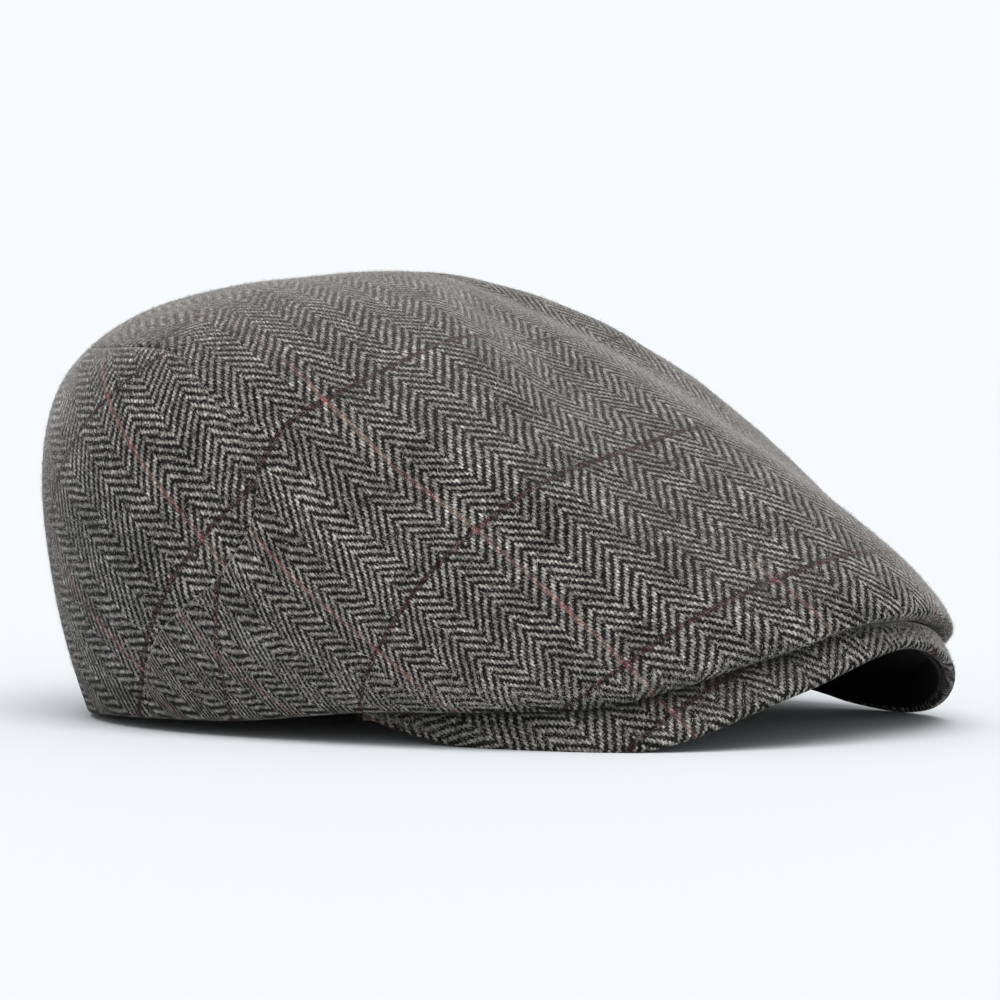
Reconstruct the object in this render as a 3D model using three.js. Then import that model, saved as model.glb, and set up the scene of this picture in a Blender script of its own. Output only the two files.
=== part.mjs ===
// A soft flat cap of herringbone tweed, resting on a table: a crown sewn from a main panel and two
// back panels, pulled forward over a stiff arched peak whose underside is faced with plain cloth.
//
// Millimetres. +Z is up and Z = 0 is the table. The peak points along -Y. The wearer's left is +X.
// Round the crown, an angle of 0 degrees is the front, 90 the side and 180 the back.

import * as THREE from 'three';
import { mergeVertices } from 'three/addons/utils/BufferGeometryUtils.js';

// Driving sizes
const CLOTH_WALL = 2.4; // tweed with its backing
const PEAK_WALL = 3; // board inside the peak with the tweed over it
const PEAK_WALL_AT_ENDS = 1.6;
const FACING_WALL = 1.2; // plain cloth under the peak
const SEAM_GAP = 0.3; // kept between the panels, and between the crown's lip and the peak
const FACING_GAP = 0.45; // kept between the peak and its facing
const CROWN_TOP = 118.7; // height of the crown over the table
const LIP_CLEARANCE = 1; // from the inside of the crown's lip to the peak below it

// Mesh fineness
const ANGLE_STEP = 5;
const ROWS_BELOW_SEAM = 10;
const ROWS_ABOVE_SEAM = 8;
const PEAK_STEPS = 32; // from one temple to the other
const BOARD_STEPS = 5; // from the band to the shoulder
const STRIP_STEPS = 3; // from the shoulder to the edge
const FACING_SHORTER = 2; // the facing ends this many steps before each end of the peak

// Crown sections, one every 20 degrees from the front to the back. The cap is symmetrical.
// reach: from the crown's axis to the fullest part of the wall. bulge: height of that part.
// tuck: how far the lower edge turns in from it. edge: height of the lower edge over the table.
// rise: upright start of the curve above the bulge, as a share of the height left to the top.
// level: level end of that curve at the top, as a share of the reach.
const CROWN_SECTIONS = [
  { angle: 0, reach: 158, bulge: 32, tuck: 3, edge: 29.5, rise: 0.165, level: 0.25 },
  { angle: 20, reach: 150, bulge: 23.5, tuck: 3.2, edge: 20.3, rise: 0.17, level: 0.31 },
  { angle: 40, reach: 133.2, bulge: 16, tuck: 3.4, edge: 10.3, rise: 0.31, level: 0.55 },
  { angle: 60, reach: 112, bulge: 19, tuck: 4.8, edge: 8, rise: 0.5, level: 0.55 },
  { angle: 80, reach: 101, bulge: 36, tuck: 8, edge: 4.4, rise: 0.61, level: 0.65 },
  { angle: 100, reach: 98, bulge: 51, tuck: 11, edge: 3.2, rise: 0.64, level: 0.67 },
  { angle: 120, reach: 96.5, bulge: 61, tuck: 12, edge: 2.2, rise: 0.65, level: 0.67 },
  { angle: 140, reach: 95.2, bulge: 68, tuck: 12.2, edge: 0.6, rise: 0.66, level: 0.67 },
  { angle: 160, reach: 93.2, bulge: 69.5, tuck: 12.4, edge: -0.4, rise: 0.67, level: 0.68 },
  { angle: 180, reach: 92, bulge: 69.5, tuck: 12.5, edge: -0.6, rise: 0.69, level: 0.69 },
];

// A meridian runs from share 0 at the lower edge, through the bulge, to share 1 at the top.
const BULGE_SHARE = 0.25;

// The seam round the back panels starts at the lower edge behind the temple, climbs and leans
// forward, turns at the corner and goes back over the shoulder of the crown to the centre back.
// Both tables run on past the corner, so that the seam turns there with a soft bend.
const CORNER_ANGLE = 75;
const CORNER_SHARE = 0.46;
const SIDE_SEAM = [
  { share: 0, angle: 102 },
  { share: 0.1, angle: 96.5 },
  { share: 0.2, angle: 87 },
  { share: 0.3, angle: 79.5 },
  { share: 0.38, angle: 76 },
  { share: CORNER_SHARE, angle: 77.5 },
  { share: 0.62, angle: 84 },
  { share: 1, angle: 88 },
];
const TOP_SEAM = [
  { angle: 60, share: 0.4 },
  { angle: CORNER_ANGLE, share: CORNER_SHARE },
  { angle: 86, share: 0.52 },
  { angle: 96, share: 0.57 },
  { angle: 104, share: 0.582 },
  { angle: 120, share: 0.557 },
  { angle: 140, share: 0.525 },
  { angle: 160, share: 0.505 },
  { angle: 180, share: 0.5 },
];

// Peak sections, from the centre front to the temple, in distance from the crown's axis.
// band: where the peak joins the head opening. edge: its outer edge.
const PEAK_SECTIONS = [
  { angle: 0, band: 103, bandHeight: 34, edge: 156.5, edgeHeight: 23.2 },
  { angle: 15, band: 101.5, bandHeight: 31.5, edge: 154, edgeHeight: 14.5 },
  { angle: 30, band: 97.5, bandHeight: 24.5, edge: 143, edgeHeight: 1.5 },
  { angle: 45, band: 90, bandHeight: 15.5, edge: 117, edgeHeight: 0 },
  { angle: 54, band: 85.5, bandHeight: 10.5, edge: 102, edgeHeight: 3 },
  { angle: 61, band: 82, bandHeight: 8.6, edge: 93, edgeHeight: 6.4 },
];
const PEAK_HALF_ANGLE = 61;
const THINNING_ANGLE = 45; // from here to its ends the peak gets thinner

// The crown's axis stands behind the middle of the cap, so that the cap's length is centred.
const AXIS_BACK = (CROWN_SECTIONS[0].reach - CROWN_SECTIONS.at(-1).reach) / 2;

// A value of a table between its rows, on a smooth curve through them that is level at both ends.
function between(rows, key, name, at) {
  const last = rows.length - 1;
  const slope = (i) => {
    if (i === 0 || i === last) return 0;
    return (rows[i + 1][name] - rows[i - 1][name]) / (rows[i + 1][key] - rows[i - 1][key]);
  };
  const x = THREE.MathUtils.clamp(at, rows[0][key], rows[last][key]);
  let i = 0;
  while (i < last - 1 && x > rows[i + 1][key]) i += 1;
  const width = rows[i + 1][key] - rows[i][key];
  const s = (x - rows[i][key]) / width;
  const start = (1 + 2 * s) * (1 - s) ** 2 * rows[i][name] + s * (1 - s) ** 2 * width * slope(i);
  const end = s * s * (3 - 2 * s) * rows[i + 1][name] + s * s * (s - 1) * width * slope(i + 1);
  return start + end;
}

// A point at a distance from the crown's axis, in the direction of an angle, at a height.
function aroundAxis(angle, distance, height) {
  const turn = THREE.MathUtils.degToRad(angle);
  return new THREE.Vector3(distance * Math.sin(turn), AXIS_BACK - distance * Math.cos(turn), height);
}

// ---- Crown -----------------------------------------------------------------------------------

// The crown's outer surface. Below the bulge the wall is a parabola that tucks in to the edge;
// above it, a cubic curve leaves the bulge upright and reaches the top level.
function crownSurface(angle, share) {
  const from = Math.abs(THREE.MathUtils.euclideanModulo(angle + 180, 360) - 180);
  const size = (name) => between(CROWN_SECTIONS, 'angle', name, from);
  const reach = size('reach');
  const bulge = size('bulge');
  if (share < BULGE_SHARE) {
    const below = 1 - share / BULGE_SHARE;
    const edge = Math.max(0, size('edge'));
    const distance = reach - size('tuck') * below ** 2;
    return aroundAxis(angle, distance, THREE.MathUtils.lerp(bulge, edge, below));
  }
  const t = (share - BULGE_SHARE) / (1 - BULGE_SHARE);
  const upright = 3 * t * (1 - t) ** 2;
  const level = 3 * t ** 2 * (1 - t);
  const start = (1 - t) ** 3 + upright;
  const distance = reach * (start + level * size('level'));
  const climb = upright * size('rise') * (CROWN_TOP - bulge);
  return aroundAxis(angle, distance, bulge * start + climb + CROWN_TOP * (1 - start));
}

// The same surface on a grid that the seam follows: the side seam lies on the grid angle
// CORNER_ANGLE below CORNER_SHARE, and the top seam lies on the grid share CORNER_SHARE behind it.
function crownGrid(angle, share) {
  const side = Math.sign(angle);
  const from = Math.abs(angle);
  const seamAngle = between(SIDE_SEAM, 'share', 'angle', share);
  if (from <= CORNER_ANGLE) return crownSurface((angle * seamAngle) / CORNER_ANGLE, share);
  const back = (from - CORNER_ANGLE) / (180 - CORNER_ANGLE);
  const trueAngle = THREE.MathUtils.lerp(seamAngle, 180, back);
  const seamShare = between(TOP_SEAM, 'angle', 'share', from);
  const over = (share - CORNER_SHARE) / (1 - CORNER_SHARE);
  const below = (share / CORNER_SHARE) * seamShare;
  const trueShare = over < 0 ? below : THREE.MathUtils.lerp(seamShare, 1, over);
  return crownSurface(side * trueAngle, trueShare);
}

// Outward normal of the crown on its grid; level at the lower edge, so that the hem lies flat.
function crownNormal(angle, share) {
  if (share >= 1) return new THREE.Vector3(0, 0, 1);
  const step = 0.01;
  const along = crownGrid(angle + 1, share).sub(crownGrid(angle - 1, share));
  const low = Math.max(share - step, 0);
  const up = crownGrid(angle, share + step).sub(crownGrid(angle, low));
  const normal = along.cross(up);
  if (share === 0) normal.z = 0;
  return normal.normalize();
}

const COLUMNS = 360 / ANGLE_STEP;
const ROWS = ROWS_BELOW_SEAM + ROWS_ABOVE_SEAM;

function columnAngle(column) {
  return THREE.MathUtils.euclideanModulo(column, COLUMNS) * ANGLE_STEP - 180;
}

function rowShare(row) {
  const above = (row - ROWS_BELOW_SEAM) / ROWS_ABOVE_SEAM;
  if (above >= 0) return THREE.MathUtils.lerp(CORNER_SHARE, 1, above);
  return (row / ROWS_BELOW_SEAM) * CORNER_SHARE;
}

// A grid corner of a panel, drawn back from the seams by half of the gap. pull is +1 for the main
// panel, which lies in front of and above the seam round the back panels, and -1 for those two.
// backPull says which way a panel draws back at the centre back, or 0 for the main panel.
function panelCorner(column, row, pull, backPull) {
  const angle = columnAngle(column);
  const share = rowShare(row);
  const from = Math.abs(angle);
  const here = crownGrid(angle, share);
  const shift = (direction, neighbour, step) => {
    return direction === 0 ? 0 : (direction * step * SEAM_GAP) / 2 / here.distanceTo(neighbour);
  };
  const onSideSeam = from === CORNER_ANGLE && row <= ROWS_BELOW_SEAM;
  const onTopSeam = from >= CORNER_ANGLE && row === ROWS_BELOW_SEAM;
  const sidePull = onSideSeam ? -Math.sign(angle) * pull : 0;
  const turnPull = from === 180 ? backPull : sidePull;
  const turn = shift(turnPull, crownGrid(angle + 1, share), 1);
  const lift = shift(onTopSeam ? pull : 0, crownGrid(angle, share + 0.01), 0.01);
  const outer = crownGrid(angle + turn, share + lift);
  const inner = outer.clone().addScaledVector(crownNormal(angle, share), -CLOTH_WALL);
  return { outer, inner };
}

// ---- Closed walls ----------------------------------------------------------------------------

// Collects triangles and leaves out those with two corners in one place.
class Skin {
  constructor() {
    this.positions = [];
  }

  triangle(a, b, c) {
    const tiny = 1e-6;
    if (a.distanceTo(b) < tiny || b.distanceTo(c) < tiny || c.distanceTo(a) < tiny) return;
    for (const corner of [a, b, c]) this.positions.push(corner.x, corner.y, corner.z);
  }

  quad(a, b, c, d) {
    this.triangle(a, b, c);
    this.triangle(a, c, d);
  }

  geometry() {
    const soup = new THREE.BufferGeometry();
    soup.setAttribute('position', new THREE.Float32BufferAttribute(this.positions, 3));
    const merged = mergeVertices(soup, 1e-4);
    merged.computeVertexNormals();
    return merged;
  }
}

// A closed wall over the kept cells of a grid. corner(column, row) gives its outer and inner
// point; keep(column, row) says whether a cell belongs to the wall. Columns run anticlockwise
// as seen from outside with rows going up, so the outer side faces out.
function closedWall(columns, rows, corner, keep) {
  const skin = new Skin();
  const edge = (a, b) => skin.quad(a.outer, a.inner, b.inner, b.outer);
  for (let row = 0; row < rows; row += 1) {
    for (let column = 0; column < columns; column += 1) {
      if (!keep(column, row)) continue;
      const a = corner(column, row);
      const b = corner(column + 1, row);
      const c = corner(column + 1, row + 1);
      const d = corner(column, row + 1);
      skin.quad(a.outer, b.outer, c.outer, d.outer);
      skin.quad(d.inner, c.inner, b.inner, a.inner);
      if (!keep(column, row - 1)) edge(a, b);
      if (!keep(column + 1, row)) edge(b, c);
      if (!keep(column, row + 1)) edge(c, d);
      if (!keep(column - 1, row)) edge(d, a);
    }
  }
  return skin.geometry();
}

// 0 for a cell of the main panel, -1 for the back panel on the wearer's right, 1 for the left.
function panelOfCell(column, row) {
  const middle = columnAngle(column) + ANGLE_STEP / 2;
  return row < ROWS_BELOW_SEAM && Math.abs(middle) > CORNER_ANGLE ? Math.sign(middle) : 0;
}

// side is the panel, as panelOfCell gives it. At the centre back, where the angle is both 180 and
// -180, the left panel draws back to smaller angles and the right one to larger.
function crownPanel(side) {
  const keep = (column, row) => {
    if (row < 0) return false;
    return row >= ROWS || panelOfCell(column, row) === side;
  };
  const pull = side === 0 ? 1 : -1;
  return closedWall(COLUMNS, ROWS, (column, row) => panelCorner(column, row, pull, -side), keep);
}

// ---- Peak ------------------------------------------------------------------------------------

// The peak's section at an angle, in distance from the axis and height: from the band where it
// joins the head opening, along the board to the shoulder under the crown's lip, and down the
// strip that shows below the lip to the outer edge.
function peakSection(angle) {
  const from = Math.abs(angle);
  const crown = (name) => between(CROWN_SECTIONS, 'angle', name, from);
  const peak = (name) => between(PEAK_SECTIONS, 'angle', name, from);
  const insideLip = crown('reach') - crown('tuck') - CLOTH_WALL - LIP_CLEARANCE;
  const shoulder = Math.min(insideLip, peak('edge') - LIP_CLEARANCE);
  return [
    new THREE.Vector2(peak('band'), peak('bandHeight')),
    new THREE.Vector2(shoulder, crown('edge') - SEAM_GAP),
    new THREE.Vector2(peak('edge'), Math.max(0, peak('edgeHeight'))),
  ];
}

// A point of the peak at a depth below its top surface. Part 0 is the band, 1 the shoulder and
// 2 the edge. The shoulder is mitred, and the edge is cut off level so that it lies on the table.
function peakPoint(angle, part, depth) {
  const [band, shoulder, edge] = peakSection(angle);
  const across = (from, to) => {
    const along = to.clone().sub(from).normalize();
    return new THREE.Vector2(-along.y, along.x);
  };
  const boardUp = across(band, shoulder);
  const stripOut = across(shoulder, edge);
  const mitre = boardUp.clone().add(stripOut).divideScalar(1 + boardUp.dot(stripOut));
  const inset = (point, direction) => point.clone().addScaledVector(direction, -depth);
  const bend = inset(shoulder, mitre);
  const end = inset(edge, stripOut).setY(edge.y);
  const onBoard = part <= 1;
  const start = onBoard ? inset(band, boardUp) : bend;
  const point = start.lerp(onBoard ? bend : end, onBoard ? part : part - 1);
  return aroundAxis(angle, point.x, point.y);
}

function peakWall(angle) {
  const nearEnd = THREE.MathUtils.smoothstep(Math.abs(angle), THINNING_ANGLE, PEAK_HALF_ANGLE);
  return THREE.MathUtils.lerp(PEAK_WALL, PEAK_WALL_AT_ENDS, nearEnd);
}

// How far down the section each row of the peak lies: even steps along the board, then even
// steps down the strip.
const PEAK_PARTS = Array.from({ length: BOARD_STEPS + STRIP_STEPS + 1 }, (_, step) => {
  return step <= BOARD_STEPS ? step / BOARD_STEPS : 1 + (step - BOARD_STEPS) / STRIP_STEPS;
});

// A closed layer of the peak between two depths. It stops short of each end by a number of
// steps, and short of the edge by a number of rows.
function peakLayer(shorter, narrower, depths) {
  const rows = PEAK_PARTS.length - 1 - narrower;
  const corner = (column, row) => {
    const angle = THREE.MathUtils.lerp(-PEAK_HALF_ANGLE, PEAK_HALF_ANGLE, column / PEAK_STEPS);
    const [top, bottom] = depths(angle);
    const part = PEAK_PARTS[rows - row];
    return { outer: peakPoint(angle, part, top), inner: peakPoint(angle, part, bottom) };
  };
  const keep = (column, row) => {
    const alongEdge = column >= shorter && column < PEAK_STEPS - shorter;
    return alongEdge && row >= 0 && row < rows;
  };
  return closedWall(PEAK_STEPS, rows, corner, keep);
}

function peakGeometry() {
  return peakLayer(0, 0, (angle) => [0, peakWall(angle)]);
}

function facingGeometry() {
  return peakLayer(FACING_SHORTER, 1, (angle) => {
    const top = peakWall(angle) + FACING_GAP;
    return [top, top + FACING_WALL];
  });
}

// ---- The cap ---------------------------------------------------------------------------------

function cloth(color) {
  return new THREE.MeshStandardMaterial({ color, roughness: 0.95, metalness: 0 });
}

function piece(name, geometry, color) {
  const mesh = new THREE.Mesh(geometry, cloth(color));
  mesh.name = name;
  return mesh;
}

const cap = new THREE.Group();
cap.name = 'flat_cap';
cap.add(piece('crown_main', crownPanel(0), 0x6a6865));
cap.add(piece('crown_back_right', crownPanel(-1), 0x6f6c69));
cap.add(piece('crown_back_left', crownPanel(1), 0x6f6c69));
cap.add(piece('peak', peakGeometry(), 0x62605e));
cap.add(piece('peak_facing', facingGeometry(), 0x141416));

export default cap;
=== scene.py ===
"""A soft flat cap of herringbone tweed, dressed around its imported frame, on a plain stage.

Metres in Blender and millimetres in the tables. +Z is up, Z = 0 is the table, the peak points
along -Y, and the wearer's left is +X. Round the crown, an angle of 0 degrees is the front.
"""

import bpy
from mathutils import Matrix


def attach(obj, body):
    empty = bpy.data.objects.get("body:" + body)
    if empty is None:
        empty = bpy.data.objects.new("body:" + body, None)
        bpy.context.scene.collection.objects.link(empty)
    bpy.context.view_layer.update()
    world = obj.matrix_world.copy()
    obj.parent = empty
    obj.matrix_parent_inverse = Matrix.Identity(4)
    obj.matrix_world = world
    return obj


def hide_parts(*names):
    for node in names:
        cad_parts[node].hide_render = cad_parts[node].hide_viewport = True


bl_info = {
    "name": "Tweed flat cap",
    "version": (1, 0, 0),
    "blender": (4, 5, 0),
    "location": "3D View > Sidebar > Flat cap",
    "description": "Builds a tweed flat cap around its packed frame, and a plain stage",
    "category": "Object",
}

from functools import partial

import bmesh
import bpy
import numpy as np
from bpy.props import FloatProperty, FloatVectorProperty, IntProperty, PointerProperty
from mathutils import Vector

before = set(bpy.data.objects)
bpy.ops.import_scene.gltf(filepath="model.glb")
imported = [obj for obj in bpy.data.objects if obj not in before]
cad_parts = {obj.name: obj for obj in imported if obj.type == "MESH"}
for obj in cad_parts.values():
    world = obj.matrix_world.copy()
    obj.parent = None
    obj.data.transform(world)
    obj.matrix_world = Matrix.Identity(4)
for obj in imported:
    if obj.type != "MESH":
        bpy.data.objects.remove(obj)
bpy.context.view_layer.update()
MM = 0.001


def linear_colour(code):
    """Linear red, green and blue of an sRGB hex value: ((c + 0.055) / 1.055) ** 2.4 a channel."""
    channels = [int(code[i : i + 2], 16) / 255 for i in (1, 3, 5)]
    return [c / 12.92 if c <= 0.04045 else ((c + 0.055) / 1.055) ** 2.4 for c in channels]


# ---- Sizes in millimetres and degrees ----


def table(names, *rows):
    """A table with named columns, as one array a column."""
    return dict(zip(names.split(), np.array(rows, float).T))


# key: degrees from the front. reach: from the crown's axis to the fullest part of the wall.
# bulge: height of that part. tuck: how much nearer the lower edge lies. edge: its height.
# rise and level: how far the curve to the top stays upright at first, and level at last.
CROWN_SECTIONS = table(
    "key reach bulge tuck edge rise level",
    (0, 158, 32, 3, 29.5, 0.165, 0.25),
    (20, 150, 23.5, 3.2, 20.3, 0.17, 0.31),
    (40, 133.2, 16, 3.4, 10.3, 0.31, 0.55),
    (60, 112, 19, 4.8, 8, 0.5, 0.55),
    (80, 101, 36, 8, 4.4, 0.61, 0.65),
    (100, 98, 51, 11, 3.2, 0.64, 0.67),
    (120, 96.5, 61, 12, 2.2, 0.65, 0.67),
    (140, 95.2, 68, 12.2, 0.6, 0.66, 0.67),
    (160, 93.2, 69.5, 12.4, -0.4, 0.67, 0.68),
    (180, 92, 69.5, 12.5, -0.6, 0.69, 0.69),
)
CROWN_TOP = 118.7
AXIS_BACK = (CROWN_SECTIONS["reach"][0] - CROWN_SECTIONS["reach"][-1]) / 2
BULGE_SHARE = 0.25  # share of the way up a meridian at which the bulge lies
CLOTH_WALL = 2.4

CORNER_ANGLE = 75  # column and row of the grid on which the seams' corner lies
CORNER_SHARE = 0.46
SIDE_SEAM = table(  # angle of the side seam at each share of the way up
    "key angle",
    (0, 102),
    (0.1, 96.5),
    (0.2, 87),
    (0.3, 79.5),
    (0.38, 76),
    (CORNER_SHARE, 77.5),
    (0.62, 84),
    (1, 88),
)
TOP_SEAM = table(  # share of the way up at which the top seam runs, at each angle
    "key share",
    (60, 0.4),
    (CORNER_ANGLE, CORNER_SHARE),
    (86, 0.52),
    (96, 0.57),
    (104, 0.582),
    (120, 0.557),
    (140, 0.525),
    (160, 0.505),
    (180, 0.5),
)
PEAK_SECTIONS = table(  # distance from the crown's axis and height of the peak's two edges
    "key band band_height edge edge_height",
    (0, 103, 34, 156.5, 23.2),
    (15, 101.5, 31.5, 154, 14.5),
    (30, 97.5, 24.5, 143, 1.5),
    (45, 90, 15.5, 117, 0),
    (54, 85.5, 10.5, 102, 3),
    (61, 82, 8.6, 93, 6.4),
)
PEAK_HALF_ANGLE = 61
THINNING_ANGLE = 45
PEAK_WALL = 3
PEAK_WALL_AT_ENDS = 1.6
SHOULDER_ROUND = 2.5  # how far from the peak's shoulder its rounding starts
FACING_GAP = 0.45
FACING_WALL = 1.2
FACING_SHORT = 6  # degrees by which the facing ends short of the peak's ends
FACING_STOP = 3  # rows by which it ends short of the peak's edge
FAR_END_LIFT = table(  # how far the peak's edge is lifted on the wearer's left
    "key lift",
    (33, 0),
    (40, 1.7),
    (45, 5),
    (50, 5),
    (55, 2.7),
    (61, 0.4),
)

LIP_SAG = table(  # how far the crown's edge hangs down over the peak on the wearer's right
    "key drop",
    (0, 0),
    (8, -1.3),
    (15, 0),
    (20, 0.8),
    (25, 2.2),
    (32, 2.6),
    (38, 1.4),
    (45, 0),
)
LEFT_SPAN = (-15, 8)  # angles over which the right side's lip changes into the left side's
LIP_CLEARANCE = 1
LIP_OVERHANG = 1.8
LIP_OVERHANG_LEFT = -0.3
CREASE_GAP = 1.2  # height of the dark crease between the lip and the peak's shoulder
SEAM_GAP = 0.3  # the same on the left, where the lip lies close
LIP_ROLL = 1.2
LIP_ROLL_ENDS = (50, 65)
LIP_ROLL_HEIGHT = 7
LIP_ROLL_LOSS = 0.7  # share of the roll that the left side lacks
LIP_FOLD = 1.4  # how much further the lip rolls under where it is folded, on the wearer's right
LIP_FOLD_ANGLE = -28
LIP_FOLD_SPREAD = 12
LIP_FOLD_HEIGHT = 0.6  # share by which the roll is higher there

SEAM_WIDTH = 1.2  # how far from a seam the cloth starts to turn in
HEM_RADIUS = CLOTH_WALL / 2
HEM_LEVEL = 8  # below this distance from the edge the wall's thickness lies level
INSIDE_RELIEF = 0.6  # share of the outside's dents and rises that the inside has
DENTS = table(  # pairs of crossing waves: millimetres a radian along x, y and z, and the start
    "strength x1 y1 z1 start1 x2 y2 z2 start2",
    (1, 13, 29, np.inf, 1.3, np.inf, 17, -21, 0.4),
    (0.7, np.inf, 11, 9, 2.1, 19, np.inf, -14, 0),
    (0.5, 7, -9, np.inf, 0.7, np.inf, 12, 8, 1.9),
)

# ---- The grids that the shapes are worked out on ----

FINE_TURN = 1.5  # degrees between columns, away from the seams
NEAR_SEAM = np.array((0, 0.17, 0.4, 0.7, 1.15, 1.7))  # degrees from a seam that runs up
NEAR_TOP_SEAM = np.array((3, 2, 1.2, 0.7, 0.3))  # millimetres from the seam that runs round
HEM_TURNS = np.arange(0, 90, 15)
LOWER_ROWS = 44
UPPER_ROWS = 60
PEAK_COLUMNS = 121
FACING_COLUMNS = 109

# ---- How the cloth lies on the panels ----

COARSE_TURN = 5  # degrees between the columns of the grid that is laid flat
ROWS_BELOW = 13  # rows of that grid below and above the shoulder
ROWS_ABOVE = 15
SIDE_FROM = 75  # distance from the centre line from which the cloth is eased in at the sides
SIDE_EASE = 0.004
SIDE_PULL_FROM = 90  # and from which it is pulled back
SIDE_PULL = 0.0055
FRONT_FROM = 75  # distance from the top from which it is eased in towards the front
FRONT_EASE = 0.0006
FRONT_SKEW = 0.098  # how far it is drawn to one side there
SKEW_WIDTH = 60
FRONT_TURN = 0.00126
FRONT_LEVEL = -26
GRAIN_TURN = 0.005  # how far its grain turns towards the back
TURN_FADE = (60, 200)
TURN_FROM = 90
TURN_LENGTH = 100
TURN_BLEND = 30
TURN_REACH = 95
TURN_LEVEL = 54
MAIN_CLOTH_SHIFT = (0.2, -4.5)  # where the check falls on each panel
BACK_CLOTH_SHIFT = (-267.1, -43.6)
PEAK_CLOTH_SHIFT = (-31.2, -60.3)
BACK_GRAIN = 38  # degrees by which the warp of a back panel runs below level
PEAK_GRAIN = -0.33  # radians by which the peak's warp turns from straight ahead

# ---- Loose fibres ----

FIBRE_SHARES = (0.035, 0.998)  # shares of the crown's height between which fibres stand
FIBRE_ROOT = 0.15  # depth of a fibre's foot below the cloth
SHORTEST_FIBRE = 0.45
FLATTENING = 0.4  # lean of a bent fibre's outer half, as a share of its lean at the foot
FIBRE_TAPER = 0.8  # width of its ring half way up, as a share of its foot's
TRIES = 5  # places drawn by chance for each fibre that is kept
FIBRE_FACES = (  # foot 0 to 2, ring 3 to 5 and tip 6
    (0, 2, 1),
    (0, 1, 4),
    (0, 4, 3),
    (1, 2, 5),
    (1, 5, 4),
    (2, 0, 3),
    (2, 3, 5),
    (3, 4, 6),
    (4, 5, 6),
    (5, 3, 6),
)
SHORT_FIBRE_FACES = ((0, 2, 1), (0, 1, 3), (1, 2, 3), (2, 0, 3))

# ---- Stage, in metres ----

TABLE_HALF = 30.0
LAMP_DIRECTION = Vector((0.38, 0.27, -0.88))
FILL_DIRECTION = Vector((0.75, 0.6, -0.1))
VIEW_TARGET = Vector((0.00843, 0.00543, 0.05758))
VIEW_DIRECTION = Vector((0.8301, 0.5567, -0.0304))
VIEW_DISTANCE = 1.2


# ---- The crown's surface ----


def between(sections, name, at):
    """A column of a table at the keys in at. Cubic curve through the rows; its slope at a row is
    that of the line between the row's neighbours, and it is level at both ends."""
    keys, values = sections["key"], sections[name]
    slopes = np.zeros(len(keys))
    slopes[1:-1] = (values[2:] - values[:-2]) / (keys[2:] - keys[:-2])
    at = np.clip(at, keys[0], keys[-1])
    i = np.clip(np.searchsorted(keys, at) - 1, 0, len(keys) - 2)
    width = keys[i + 1] - keys[i]
    s = (at - keys[i]) / width
    start = (1 + 2 * s) * (1 - s) ** 2 * values[i] + s * (1 - s) ** 2 * width * slopes[i]
    end = s * s * (3 - 2 * s) * values[i + 1] + s * s * (s - 1) * width * slopes[i + 1]
    return start + end


def smooth(at, low, high):
    """0 below low, 1 above high, and 3 t^2 - 2 t^3 between them."""
    t = np.clip((at - low) / (high - low), 0, 1)
    return t * t * (3 - 2 * t)


def around_axis(angle, distance, height):
    """Points at a distance from the crown's axis, in the direction of an angle, at a height."""
    turn = np.radians(angle)
    places = (distance * np.sin(turn), AXIS_BACK - distance * np.cos(turn), height)
    return np.stack(np.broadcast_arrays(*places), -1)


def edge_of_crown(angle):
    """Height of the crown's lower edge. It sags over the peak on the wearer's right."""
    off_front = np.abs((angle + 180) % 360 - 180)
    right_side = (180 - angle) % 360 - 180
    sag = between(LIP_SAG, "drop", right_side)
    return between(CROWN_SECTIONS, "edge", off_front) - sag


def on_left(angle):
    """0 on the wearer's right of the peak and 1 on the left, with a smooth change in front."""
    return smooth(angle, *LEFT_SPAN)


def lip_roll(angle, low):
    """How far the crown's lip rolls under over the peak, at a distance low from its edge:
    depth * (1 - low / LIP_ROLL_HEIGHT) ** 2."""
    fold = np.exp(-(((angle - LIP_FOLD_ANGLE) / LIP_FOLD_SPREAD) ** 2))
    depth = (LIP_ROLL + LIP_FOLD * fold) * (1 - smooth(np.abs(angle), *LIP_ROLL_ENDS))
    depth = depth * (1 - LIP_ROLL_LOSS * on_left(angle))
    height = LIP_ROLL_HEIGHT * (1 + fold * LIP_FOLD_HEIGHT)
    return depth * np.clip(1 - low / height, 0, 1) ** 2


def crown_surface(angle, share):
    """The crown at an angle and a share of the way up its meridian. Below BULGE_SHARE the wall is
    a parabola that tucks in to the edge. Above it, a cubic curve leaves the bulge upright and
    reaches the top level."""
    off_front = np.abs((angle + 180) % 360 - 180)
    names = ("reach", "bulge", "tuck", "rise", "level")
    reach, bulge, tuck, rise, level = (between(CROWN_SECTIONS, n, off_front) for n in names)
    edge = edge_of_crown(angle)
    below = np.clip(1 - share / BULGE_SHARE, 0, 1)
    t = np.clip((share - BULGE_SHARE) / (1 - BULGE_SHARE), 0, 1)
    upright = 3 * t * (1 - t) ** 2
    start = (1 - t) ** 3 + upright
    distance = reach * (start + 3 * t * t * (1 - t) * level) - tuck * below**2
    height = bulge * start + upright * rise * (CROWN_TOP - bulge) + CROWN_TOP * (1 - start)
    height = height - (bulge - np.maximum(edge, 0)) * below
    return around_axis(angle, distance, height)


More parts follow.
